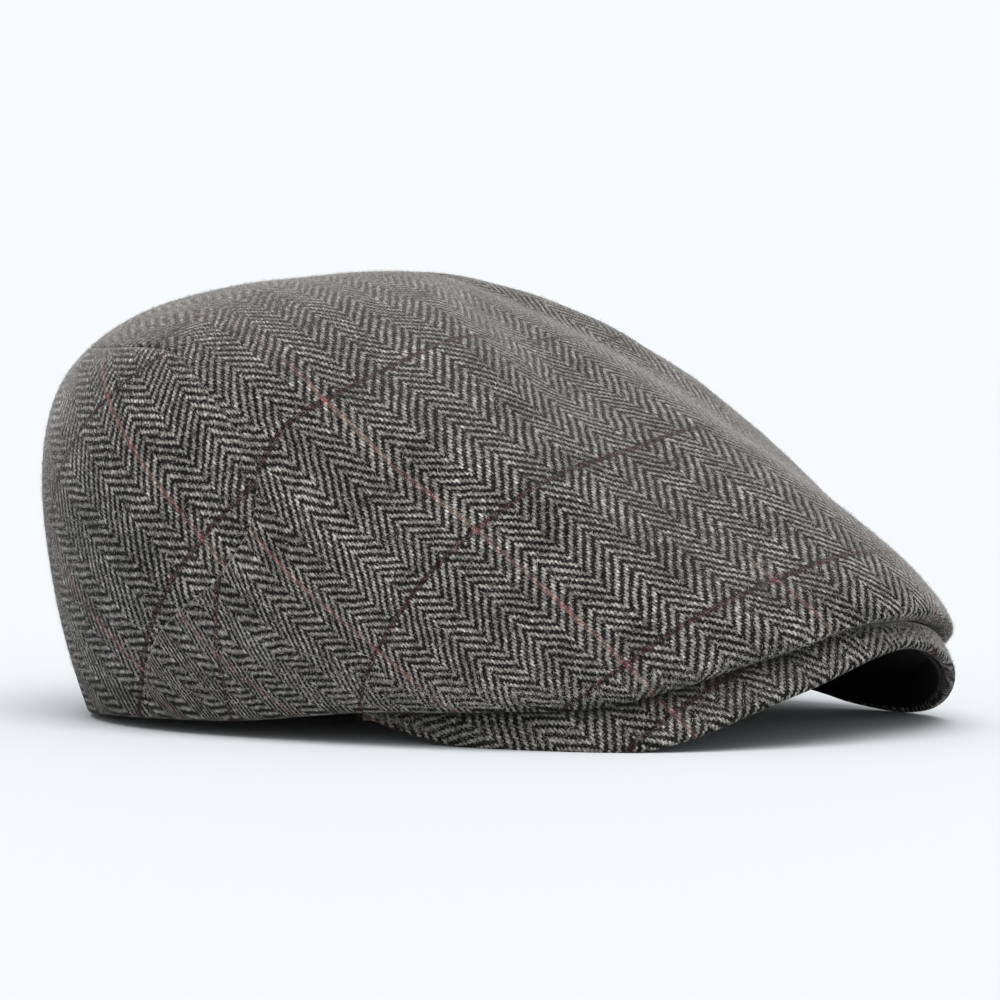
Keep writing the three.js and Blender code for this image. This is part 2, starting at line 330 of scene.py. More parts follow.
def crown_grid(angle, share):
    """The same surface on a grid that the seams follow: the side seams lie on the grid angles of
    CORNER_ANGLE below CORNER_SHARE, and the top seam on the grid share CORNER_SHARE behind them."""
    off_front = np.abs(angle)
    seam_angle = between(SIDE_SEAM, "angle", share)
    back = (off_front - CORNER_ANGLE) / (180 - CORNER_ANGLE)
    front_angle = off_front * seam_angle / CORNER_ANGLE
    back_angle = seam_angle + (180 - seam_angle) * back
    true_angle = np.where(back <= 0, front_angle, back_angle)
    seam_share = np.where(back <= 0, CORNER_SHARE, between(TOP_SEAM, "share", off_front))
    over = (share - CORNER_SHARE) / (1 - CORNER_SHARE)
    below_seam = share / CORNER_SHARE * seam_share
    true_share = np.where(over < 0, below_seam, seam_share + (1 - seam_share) * over)
    return crown_surface(np.sign(angle) * true_angle, true_share)


def lengths(vectors):
    """Length of each vector in the last axis."""
    return np.sqrt((vectors**2).sum(-1))


def crown_slopes(angle, share):
    """Millimetres a degree along the crown, millimetres a share up it, and its outward normal,
    from small steps of the surface. Towards the lower edge the normal turns level."""
    turn, step = 0.5, 0.004
    along = crown_grid(angle + turn, share) - crown_grid(angle - turn, share)
    high, low = np.minimum(share + step, 1), np.maximum(share - step, 0)
    up = crown_grid(angle, high) - crown_grid(angle, low)
    per_degree = lengths(along) / (2 * turn)
    per_share = lengths(up) / (high - low)
    normal = np.cross(along, up)
    normal[..., 2] *= smooth(share * per_share, 0, HEM_LEVEL)
    normal[np.broadcast_to(share >= 0.9995, normal.shape[:-1])] = (0, 0, 1)
    return per_degree, per_share, normal / np.maximum(lengths(normal), 1e-9)[..., None]


# ---- Cutting flat: where each point of a panel lies on the cloth ----


def flatten(points, triangles, start, rounds=60):
    """Lays a panel flat with as little stretch as it can, as it was cut. Each round turns every
    flat triangle as near as it goes to its place, then moves the points to fit the turned
    triangles, with each edge weighted by the cotangents of the angles across from it. The start
    may show the panel from its other side; the result is then seen from there too."""
    corners = points[triangles]
    first, second = corners[:, 1] - corners[:, 0], corners[:, 2] - corners[:, 0]
    base = lengths(first)
    along = first / base[:, None]
    normal = np.cross(first, second)
    sideways = np.cross(normal / lengths(normal)[:, None], along)
    flat = np.zeros((len(triangles), 3, 2))
    flat[:, 1, 0] = base
    flat[:, 2, 0] = (second * along).sum(1)
    flat[:, 2, 1] = (second * sideways).sum(1)
    count = len(points)
    spring = np.zeros((count, count))
    edges = []
    for k in range(3):
        a, b, apex = (k + 1) % 3, (k + 2) % 3, k
        to_a, to_b = flat[:, a] - flat[:, apex], flat[:, b] - flat[:, apex]
        cross = to_a[:, 0] * to_b[:, 1] - to_a[:, 1] * to_b[:, 0]
        weight = np.maximum((to_a * to_b).sum(1) / np.abs(cross), 0.05)
        i, j = triangles[:, a], triangles[:, b]
        edges.append((i, j, weight, flat[:, a] - flat[:, b]))
        for row, column, sign in ((i, j, -1), (j, i, -1), (i, i, 1), (j, j, 1)):
            np.add.at(spring, (row, column), sign * weight)
    settle = np.linalg.inv(spring + 1 / count)
    place = start[triangles]
    first, second = place[:, 1] - place[:, 0], place[:, 2] - place[:, 0]
    area = (first[:, 0] * second[:, 1] - first[:, 1] * second[:, 0]).sum()
    seen_from = np.array((1, np.sign(area)))
    place = start * seen_from
    for _ in range(rounds):
        twist = sum(
            (w[:, None, None] * (place[i] - place[j])[:, :, None] * edge[:, None, :])
            for i, j, w, edge in edges
        )
        turn = np.arctan2(twist[:, 1, 0] - twist[:, 0, 1], twist[:, 0, 0] + twist[:, 1, 1])
        cos, sin = np.cos(turn), np.sin(turn)
        pull = np.zeros((count, 2))
        for i, j, w, edge in edges:
            turned = np.stack(
                (cos * edge[:, 0] - sin * edge[:, 1], sin * edge[:, 0] + cos * edge[:, 1]), 1
            )
            np.add.at(pull, i, w[:, None] * turned)
            np.add.at(pull, j, -w[:, None] * turned)
        place = settle @ pull
    return place * seen_from


def flatten_grid(points, kept, start):
    """flatten() for the kept cells of a grid of points. Points that share a place count once, and
    points of no kept cell come back as zeros."""
    rows, columns = points.shape[:2]
    number = np.arange(rows * columns).reshape(rows, columns)
    a, b, c, d = number[:-1, :-1], number[:-1, 1:], number[1:, 1:], number[1:, :-1]
    quads = np.stack((a, b, c, d), -1)[kept]
    triangles = np.concatenate((quads[:, [0, 1, 2]], quads[:, [0, 2, 3]]))
    spots = points.reshape(-1, 3)
    _, one, same = np.unique(spots.round(4), axis=0, return_index=True, return_inverse=True)
    same = same.reshape(-1)
    triangles = same[triangles]
    whole = (triangles != np.roll(triangles, 1, 1)).all(1)
    used, triangles = np.unique(triangles[whole], return_inverse=True)
    triangles = triangles.reshape(-1, 3)
    place = flatten(spots[one][used], triangles, start.reshape(-1, 2)[one][used])
    flat = np.zeros((len(one), 2))
    flat[used] = place
    return flat[same].reshape(rows, columns, 2)


def resample(values, row_at, column_at):
    """Values of a coarse grid at fractional rows and columns, on Catmull-Rom curves both ways. The
    grid goes on past its edges as its own point reflection."""
    padded = np.pad(values, ((2, 2), (2, 2), (0, 0)), mode="reflect", reflect_type="odd")

    def weights(at, count):
        """The point before each place, and the weights of the four points round it."""
        i = np.clip(np.floor(at).astype(int), 0, count - 2)
        t = at - i
        w = (-t * (1 - t) ** 2, 2 - 5 * t**2 + 3 * t**3, t + 4 * t**2 - 3 * t**3, t**3 - t**2)
        return i, [x / 2 for x in w]

    i, row_weights = weights(row_at, values.shape[0])
    j, column_weights = weights(column_at, values.shape[1])
    out = 0
    for m, wr in enumerate(row_weights):
        for n, wc in enumerate(column_weights):
            out = out + (wr * wc)[..., None] * padded[i + m + 1, j + n + 1]
    return out


def squared_up(flat, foot, head, turned_by=0):
    """A flat panel moved and turned so that the line from its point foot to its point head starts
    at zero and runs forward, then turned by an angle in radians."""
    flat = flat - flat[foot]
    lean = np.arctan2(*flat[head]) + turned_by
    turn = np.array(((np.cos(lean), -np.sin(lean)), (np.sin(lean), np.cos(lean))))
    return flat @ turn.T


def coarse_row(share):
    """Fractional row of the coarse grid at a share."""
    above = ROWS_BELOW + (share - CORNER_SHARE) / (1 - CORNER_SHARE) * ROWS_ABOVE
    return np.where(share < CORNER_SHARE, share / CORNER_SHARE * ROWS_BELOW, above)


def coarse_shares():
    """Shares of the coarse grid's rows, in even steps below the shoulder and above it."""
    below = np.linspace(0, CORNER_SHARE, ROWS_BELOW + 1)
    above = np.linspace(CORNER_SHARE, 1, ROWS_ABOVE + 1)
    return np.concatenate((below, above[1:]))


def main_panel_cloth(angle, share):
    """Place on the cloth of points of the main panel, in millimetres: across from the centre line
    and forward from the crown's top. The warp runs along the centre line."""
    angles = np.arange(-180, 181, COARSE_TURN).astype(float)
    shares = coarse_shares()
    points = crown_grid(angles[None, :], shares[:, None])
    middle = np.abs(angles[:-1] + COARSE_TURN / 2)
    lower = np.arange(len(shares) - 1) < ROWS_BELOW
    kept = ~(lower[:, None] & (middle > CORNER_ANGLE)[None, :])
    flat = flatten_grid(points, kept, np.stack((points[..., 0], -points[..., 1]), -1) * 1.1)
    front = len(angles) // 2
    flat = squared_up(flat, (-1, front), (0, front))
    corner = CORNER_ANGLE // COARSE_TURN
    in_front = resample(
        flat[:, front - corner : front + corner + 1],
        coarse_row(share),
        (angle + CORNER_ANGLE) / COARSE_TURN,
    )
    ring = np.concatenate((flat[ROWS_BELOW:], flat[ROWS_BELOW:, 1:]), 1)
    behind = resample(
        ring, coarse_row(share) - ROWS_BELOW, ((angle + 360) % 360 + 180) / COARSE_TURN
    )
    place = np.where((np.abs(angle) <= CORNER_ANGLE)[..., None], in_front, behind)
    return eased_cloth(place[..., 0], place[..., 1]) + MAIN_CLOTH_SHIFT


def eased_cloth(across, forward):
    """Where the main panel's cloth really lies. Sewn on, it is eased in towards the sides, towards
    the front, and with its grain turned a little towards the back and over the lip."""
    off_centre = across / np.sqrt(across**2 + TURN_BLEND**2)
    wide = np.abs(across)
    behind = np.clip(TURN_FROM - forward, 0, TURN_LENGTH)
    ahead = np.maximum(forward - FRONT_FROM, 0)
    turn = GRAIN_TURN * behind * (1 - smooth(wide, *TURN_FADE))
    eased = across * (1 + FRONT_EASE * ahead) + turn / 2 * behind * off_centre
    eased = eased - FRONT_SKEW * ahead / (1 + (across / SKEW_WIDTH) ** 2)
    eased = eased + np.sign(across) * SIDE_EASE * np.maximum(wide - SIDE_FROM, 0) ** 2
    along = forward + turn * (np.minimum(wide, TURN_REACH) - TURN_LEVEL)
    along = along + FRONT_TURN * ahead * (wide - FRONT_LEVEL)
    along = along - SIDE_PULL * np.maximum(wide - SIDE_PULL_FROM, 0) ** 2
    return np.stack((eased, along), -1)


def back_panel_cloth(angle, share):
    """Place on the cloth of points of a back panel, in millimetres. Laid flat with its centre back
    edge upright, the warp of this panel runs BACK_GRAIN degrees below level, away from the centre
    back."""
    angles = np.arange(CORNER_ANGLE, 181, COARSE_TURN).astype(float)
    shares = coarse_shares()[: ROWS_BELOW + 1]
    points = crown_grid(angles[None, :], shares[:, None])
    kept = np.ones((len(shares) - 1, len(angles) - 1), bool)
    start = np.stack(np.broadcast_arrays((180 - angles) * 1.7, points[..., 2]), -1)
    flat = flatten_grid(points, kept, start)
    flat = squared_up(flat, (0, -1), (-1, -1))
    flat = resample(flat, coarse_row(share), (np.abs(angle) - CORNER_ANGLE) / COARSE_TURN)
    grain = np.radians(BACK_GRAIN)
    warp = np.array((np.cos(grain), -np.sin(grain)))
    weft = np.array((np.sin(grain), np.cos(grain)))
    return np.stack((flat @ weft, flat @ warp), -1) + BACK_CLOTH_SHIFT


# ---- Walls of cloth ----


def wall_mesh(name, outer, inner, cloth, kept, wraps):
    """A closed wall over the kept cells of a grid. The outer and inner points carry the same place
    on the cloth. Where a kept cell has no kept neighbour, a strip joins the two sides."""
    rows, columns = outer.shape[:2]
    number = np.arange(rows * columns).reshape(rows, columns)
    if wraps:
        number = np.concatenate((number, number[:, :1]), 1)
    other = number + rows * columns
    a, b, c, d = number[:-1, :-1], number[:-1, 1:], number[1:, 1:], number[1:, :-1]
    faces = [np.stack((a, b, c, d), -1)[kept]]
    e, f, g, h = other[:-1, :-1], other[:-1, 1:], other[1:, 1:], other[1:, :-1]
    faces.append(np.stack((h, g, f, e), -1)[kept])
    fainter_facing_up = np.zeros_like(kept[:1])
    side = kept[:, -1:] if wraps else np.zeros_like(kept[:, :1])
    other_side = kept[:, :1] if wraps else np.zeros_like(kept[:, :1])
    strips = (
        (np.concatenate((fainter_facing_up, kept[:-1])), a, b, e, f),
        (np.concatenate((kept[:, 1:], other_side), 1), b, c, f, g),
        (np.concatenate((kept[1:], fainter_facing_up)), c, d, g, h),
        (np.concatenate((side, kept[:, :-1]), 1), d, a, h, e),
    )
    for neighbour, p, q, p_in, q_in in strips:
        faces.append(np.stack((p, p_in, q_in, q), -1)[kept & ~neighbour])
    points = np.concatenate((outer.reshape(-1, 3), inner.reshape(-1, 3))) * MM
    places = np.concatenate((cloth.reshape(-1, 2), cloth.reshape(-1, 2))) * MM
    return mesh_object(name, points, np.concatenate(faces), places)


def in_scene(name, data):
    """A new object with this data, at the origin of the scene."""
    item = bpy.data.objects.new(name, data)
    bpy.context.scene.collection.objects.link(item)
    return item


def mesh_object(name, points, faces, places):
    """An object from points, four-sided faces and a place on the cloth for each point. Points no
    face uses are left out, and points in one place are merged."""
    used, faces = np.unique(faces, return_inverse=True)
    faces = faces.reshape(-1, 4)
    points, places = points[used], places[used]
    mesh = bpy.data.meshes.new(name)
    mesh.from_pydata(points, [], faces)
    layer = mesh.uv_layers.new(name="cloth")
    corner_points = np.zeros(len(mesh.loops), np.int32)
    mesh.loops.foreach_get("vertex_index", corner_points)
    layer.data.foreach_set("uv", places[corner_points].astype(np.float32).ravel())
    work = bmesh.new()
    work.from_mesh(mesh)
    bmesh.ops.remove_doubles(work, verts=work.verts, dist=2e-6)
    bmesh.ops.dissolve_degenerate(work, edges=work.edges, dist=1e-6)
    work.to_mesh(mesh)
    work.free()
    mesh.shade_smooth()
    return in_scene(name, mesh)


def grid_angles():
    """Angles of the fine grid's columns: even steps, drawn together at the side and back seams."""
    near, past = NEAR_SEAM, NEAR_SEAM[1:]
    even = np.arange(-180, 180, FINE_TURN)
    keep = np.minimum(np.abs(np.abs(even) - CORNER_ANGLE), 180 - np.abs(even)) > 2
    seams = np.concatenate((CORNER_ANGLE - near, CORNER_ANGLE + past))
    backs = (-180 + near, 180 - past)
    return np.sort(np.concatenate((even[keep], seams, -seams, *backs)))


def grid_shares(angles):
    """Shares of the fine grid's points: one column an angle, with rows drawn together round the
    hem and at the top seam, and the row of the top seam on CORNER_SHARE all round."""
    per_share = crown_slopes(angles, np.full_like(angles, 0.01))[1]
    hem = HEM_RADIUS / per_share
    round_hem = (1 - np.cos(np.radians(HEM_TURNS)))[:, None] * hem
    per_share = crown_slopes(angles, np.full_like(angles, CORNER_SHARE))[1]
    near = NEAR_TOP_SEAM[:, None] / per_share
    step = np.linspace(0, 1, LOWER_ROWS + 1)[:-1, None]
    lower = hem + (CORNER_SHARE - near[0] - hem) * step
    seam = np.full((1, len(angles)), float(CORNER_SHARE))
    step = np.linspace(0, 1, UPPER_ROWS + 1)[1:, None]
    upper = CORNER_SHARE + near[0] + (1 - CORNER_SHARE - near[0]) * step
    below, above = CORNER_SHARE - near, CORNER_SHARE + near[::-1]
    return np.concatenate((round_hem, lower, below, seam, above, upper))


def hem_turn(distance):
    """How far a hem's side draws back, on a quarter of a circle, at a distance from its edge."""
    left = np.clip(HEM_RADIUS - distance, 0, HEM_RADIUS)
    return HEM_RADIUS - np.sqrt(HEM_RADIUS**2 - left**2)


def seam_turn(distance, depth):
    """How far cloth sinks into a seam: depth * (1 - distance / SEAM_WIDTH) ** 2.2."""
    return depth * np.clip(1 - distance / SEAM_WIDTH, 0, 1) ** 2.2


def crown_panel(name, side, cloth, shape):
    """A crown panel as a closed wall on the fine grid. side is 0 for the main panel, -1 for the
    back panel on the wearer's right and 1 for the one on the left."""
    angles = grid_angles()
    share = grid_shares(angles)
    angle = np.broadcast_to(angles, share.shape)
    per_degree, per_share, normal = crown_slopes(angle, share)
    off_front = np.abs(angle)
    turn = (off_front - CORNER_ANGLE) * per_degree
    climb = (share - CORNER_SHARE) * per_share
    to_back = (180 - off_front) * per_degree
    if side == 0:
        to_seam = np.hypot(np.maximum(-turn, 0), np.maximum(climb, 0))
    else:
        to_seam = np.minimum(np.minimum(turn, -climb), to_back)
    to_seam = np.maximum(to_seam, 0)
    point, relief = crown_outside(angle, share, per_share, shape)
    hem = hem_turn(share * per_share)
    sunk = relief - hem - seam_turn(to_seam, shape.seam_depth / MM)
    outer = point + normal * sunk[..., None]
    inner = point + normal * (relief * INSIDE_RELIEF - CLOTH_WALL + hem)[..., None]
    middle = (off_front[:-1, :] + np.abs(np.roll(angle, -1, 1)[:-1, :])) / 2
    low = share[1:] <= CORNER_SHARE + 1e-9
    cell_side = np.where(angle[:-1] >= 0, 1, -1)
    back_cell = low & (middle > CORNER_ANGLE)
    kept = ~back_cell if side == 0 else back_cell & (cell_side == side)
    outer[..., 2] = np.maximum(outer[..., 2], 0)
    inner[..., 2] = np.maximum(inner[..., 2], 0)
    places = cloth(angle, share)
    return wall_mesh(name, outer, inner, places, kept, True)


def dents(point):
    """Slow waves over the cloth: the sum over the rows of DENTS of their strength times the sines
    of two waves that cross. Each wave's angle is x, y and z over its lengths, plus its start."""
    total = 0
    for strength, *waves in zip(*DENTS.values()):
        first = (point / waves[:3]).sum(-1) + waves[3]
        second = (point / waves[4:7]).sum(-1) + waves[7]
        total = total + strength * np.sin(first) * np.sin(second)
    return total


def crown_outside(angle, share, per_share, shape):
    """Points of the plain crown surface, and how far the cloth stands off it along its normal, in
    millimetres: soft dents and rises, and the lip rolled under."""
    point = crown_grid(angle, share)
    relief = shape.softness / MM * dents(point) * smooth(share, 0.02, 0.3)
    return point, relief - lip_roll(angle, share * per_share)


def crown_nap(name, count, sides, shape, nap, bent):
    """Loose wool fibres that stand off the crown between two angles, spread evenly over its
    cloth: bent long ones, or straight short ones."""
    chance = np.random.default_rng(nap.seed + len(name))
    angle = chance.uniform(*sides, count * TRIES)
    share = chance.uniform(*FIBRE_SHARES, count * TRIES)
    per_degree, per_share, normal = crown_slopes(angle, share)
    area = per_degree * per_share
    taken = np.flatnonzero(chance.uniform(0, area.max(), len(area)) < area)[:count]
    angle, share, per_share, normal = angle[taken], share[taken], per_share[taken], normal[taken]
    point, relief = crown_outside(angle, share, per_share, shape)
    return fibres(name, point + normal * relief[:, None], normal, chance, nap, bent)


def peak_nap(name, count, nap):
    """Short wool fibres that stand off the strip of the peak in front of its shoulder."""
    chance = np.random.default_rng(nap.seed)
    angle = chance.uniform(1 - PEAK_HALF_ANGLE, PEAK_HALF_ANGLE - 1, count)
    line = peak_profile(angle)
    row = chance.uniform(len(line) / 2, len(line) - 1.001, count)
    low = np.floor(row).astype(int)
    column = np.arange(count)
    first, second = line[low, column], line[low + 1, column]
    spot = first + (second - first) * (row - low)[:, None]
    along = (second - first) / lengths(second - first)[:, None]
    above = spot + np.stack((-along[:, 1], along[:, 0]), -1)
    root = around_axis(angle, spot[:, 0], spot[:, 1])
    normal = around_axis(angle, above[:, 0], above[:, 1]) - root
    return fibres(name, root, normal, chance, nap, False)


def fibres(name, root, normal, chance, nap, bent):
    """Fibres, one a root: a three-sided foot just under the cloth and a tip, with a three-sided
    ring half way on the bent ones. Each leans a random way and starts steeper than it ends."""
    count = len(root)
    aside = np.cross(normal, chance.normal(size=(count, 3)))
    aside = aside / lengths(aside)[:, None]
    across = np.cross(normal, aside)
    longest = (nap.length if bent else nap.short_length) / MM
    length = longest * chance.uniform(SHORTEST_FIBRE, 1, count)[:, None] ** 1.5
    rise = chance.uniform(0.1, nap.rise, count)[:, None]
    steep = normal * np.sin(rise) + aside * np.cos(rise)
    flat = normal * np.sin(rise * FLATTENING) + aside * np.cos(rise * FLATTENING)
    middle = root + steep * length / 2
    tip = middle + (flat if bent else steep) * length / 2
    swing = np.radians((0, 120, 240))[None, :, None]
    ring = across[:, None] * np.cos(swing) + np.cross(across, steep)[:, None] * np.sin(swing)
    ring = ring * nap.width / MM / 2
    rings = [(root - normal * FIBRE_ROOT)[:, None] + ring]
    if bent:
        rings.append(middle[:, None] + ring * FIBRE_TAPER)
    points = np.concatenate((*rings, tip[:, None]), 1)
    points[..., 2] = np.maximum(points[..., 2], 0)
    faces = np.array(FIBRE_FACES if bent else SHORT_FIBRE_FACES)
    faces = faces[None] + np.arange(count)[:, None, None] * points.shape[1]
    mesh = bpy.data.meshes.new(name)
    mesh.from_pydata(points.reshape(-1, 3) * MM, [], faces.reshape(-1, 3))
    mesh.shade_smooth()
    return in_scene(name, mesh)


# ---- Peak ----


def rounding(side):
    """Share of each side of the shoulder that is rounded off: SHOULDER_ROUND, or 0.4 of it."""
    return np.minimum(SHOULDER_ROUND / lengths(side), 0.4)[:, None]


def peak_profile(angle, steps=28):
    """Top line of the peak's section at each angle, in distance from the axis and height: from the
    band to the shoulder and down the strip to the edge, with the shoulder rounded off as a
    quadratic curve. Rows are steps along the line and columns are angles."""
    off_front = np.abs(angle)
    reach, tuck = (between(CROWN_SECTIONS, n, off_front) for n in ("reach", "tuck"))
    names = ("band", "band_height", "edge", "edge_height")
    band, band_height, edge, edge_height = (between(PEAK_SECTIONS, n, off_front) for n in names)
    lip = edge_of_crown(angle)
    lift = between(FAR_END_LIFT, "lift", angle)
    edge_height = np.maximum(edge_height, 0) + lift
    overhang = LIP_OVERHANG + (LIP_OVERHANG_LEFT - LIP_OVERHANG) * on_left(angle)
    crease = CREASE_GAP + (SEAM_GAP - CREASE_GAP) * on_left(angle)
    shoulder = reach - tuck - overhang - lip_roll(angle, 0)
    shoulder = np.minimum(shoulder, edge - LIP_CLEARANCE)
    start = np.stack((band, band_height), -1)
    bend = np.stack((shoulder, lip - crease), -1)
    end = np.stack((edge, edge_height), -1)
    down = end - bend
    end = end - down / lengths(down)[:, None] * peak_wall(angle)[:, None] / 2
    into = bend + (start - bend) * rounding(start - bend)
    out_of = bend + (end - bend) * rounding(end - bend)
    board = np.linspace(0, 1, steps)[:, None, None] ** 0.8
    curve = np.linspace(0, 1, 9)[1:-1, None, None]
    strip = np.linspace(0, 1, steps)[:, None, None]
    turn = (1 - curve) ** 2 * into + 2 * curve * (1 - curve) * bend + curve**2 * out_of
    return np.concatenate((start + (into - start) * board, turn, out_of + (end - out_of) * strip))


def peak_wall(angle):
    """Thickness of the peak, which gets thinner towards its ends."""
    near_end = smooth(np.abs(angle), THINNING_ANGLE, PEAK_HALF_ANGLE)
    return PEAK_WALL + (PEAK_WALL_AT_ENDS - PEAK_WALL) * near_end


def peak_layer(name, angles, stop, depth, wall):
    """A closed layer of the peak between two depths below its top line, which ends stop before
    the peak's own edge and is folded round there on a half circle. Returned with its section laid
    out as one closed loop a column."""
    line = peak_profile(angles)
    cut = line.shape[0] - stop
    line = line[:cut]
    along = np.gradient(line, axis=0)
    along = along / lengths(along)[..., None]
    up = np.stack((-along[..., 1], along[..., 0]), -1)
    top = line - up * depth[:, None]
    bottom = line - up * (depth + wall)[:, None]
    centre = (top[-1] + bottom[-1]) / 2
    swing = np.radians(np.arange(15, 180, 15))[:, None, None]
    half = wall[:, None] / 2
    fold = centre + half * (np.cos(swing) * up[-1] + np.sin(swing) * along[-1])
    loop = np.concatenate((top, fold, bottom[::-1]))
    return loop, len(line), fold.shape[0]


def peak_places(points):
    """Place on the cloth of the points of the peak's top line, laid flat: across and forward from
    the middle of the band, with the warp running forward."""
    coarse = points[::3, ::3]
    kept = np.ones((coarse.shape[0] - 1, coarse.shape[1] - 1), bool)
    flat = flatten_grid(coarse, kept, np.stack((coarse[..., 0], -coarse[..., 1]), -1))
    middle = flat.shape[1] // 2
    flat = squared_up(flat, (0, middle), (-1, middle), PEAK_GRAIN)
    rows, columns = (np.arange(count) / 3 for count in points.shape[:2])
    return resample(flat, *np.meshgrid(rows, columns, indexing="ij")) + PEAK_CLOTH_SHIFT


def peak_piece(name, angles, stop, depth, wall):
    """A layer of the peak as a closed mesh: the section's loop carried round the crown's axis, with
    the place on the cloth from the flattened top line; the underside repeats the top's places."""
    loop, line_count, fold_count = peak_layer(name, angles, stop, depth, wall)
    points = around_axis(angles[None, :], loop[..., 0], loop[..., 1])
    points[..., 2] = np.maximum(points[..., 2], 0)
    top = peak_places(points[:line_count])
    past = top[-1] - top[-2]
    past = past / lengths(past)[:, None]
    turned = np.arange(1, fold_count + 1)[:, None, None] / (fold_count + 1) * np.pi
    fold = top[-1] + past * turned * wall[:, None] / 2
    under = fold[-1] + top[-1] - top[::-1]
    places = np.concatenate((top, fold, under))
    return loop_mesh(name, points, places)


def loop_mesh(name, points, places):
    """A closed mesh from closed loops, one a column: walls between the loops, and both end loops
    closed across from one side to the other."""
    rows, columns = points.shape[:2]
    number = np.arange(rows * columns).reshape(rows, columns)
    ring = np.concatenate((number, number[:1]))
    a, b, c, d = ring[:-1, :-1], ring[:-1, 1:], ring[1:, 1:], ring[1:, :-1]
    faces = [np.stack((d, c, b, a), -1).reshape(-1, 4)]
    half = rows // 2
    for end, flip in ((0, 1), (columns - 1, -1)):
        near = number[:half, end]
        far = number[::-1, end][:half]
        faces.append(np.stack((near[:-1], near[1:], far[1:], far[:-1]), -1)[:, ::flip])
    points, places = points.reshape(-1, 3) * MM, places.reshape(-1, 2) * MM
    return mesh_object(name, points, np.concatenate(faces), places)


# ---- Materials ----


def add_node(tree, kind, *values, out=0, **settings):
    """Adds a shader node and returns one of its outputs. A word after a dot in its kind is its
    operation. Values and links fill its inputs in order, or by name if they come as a dict."""
    kind, _, operation = kind.partition(".")
    node = tree.nodes.new("ShaderNode" + kind)
    if operation:
        node.operation = operation
    for name, value in settings.items():
        setattr(node, name, value)
    named = len(values) == 1 and isinstance(values[0], dict)
    for key, value in (values[0] if named else dict(enumerate(values))).items():
        socket = node.inputs[key]
        if isinstance(value, bpy.types.NodeSocket):
            tree.links.new(value, socket)
        else:
            socket.default_value = (*value, 1) if socket.type == "RGBA" else value
    return node.outputs[out] if len(node.outputs) else None


def new_material(name):
    """An empty node material, and add_node() for its tree."""
    material = bpy.data.materials.new(name)
    material.use_nodes = True
    material.node_tree.nodes.clear()
    return material, partial(add_node, material.node_tree)


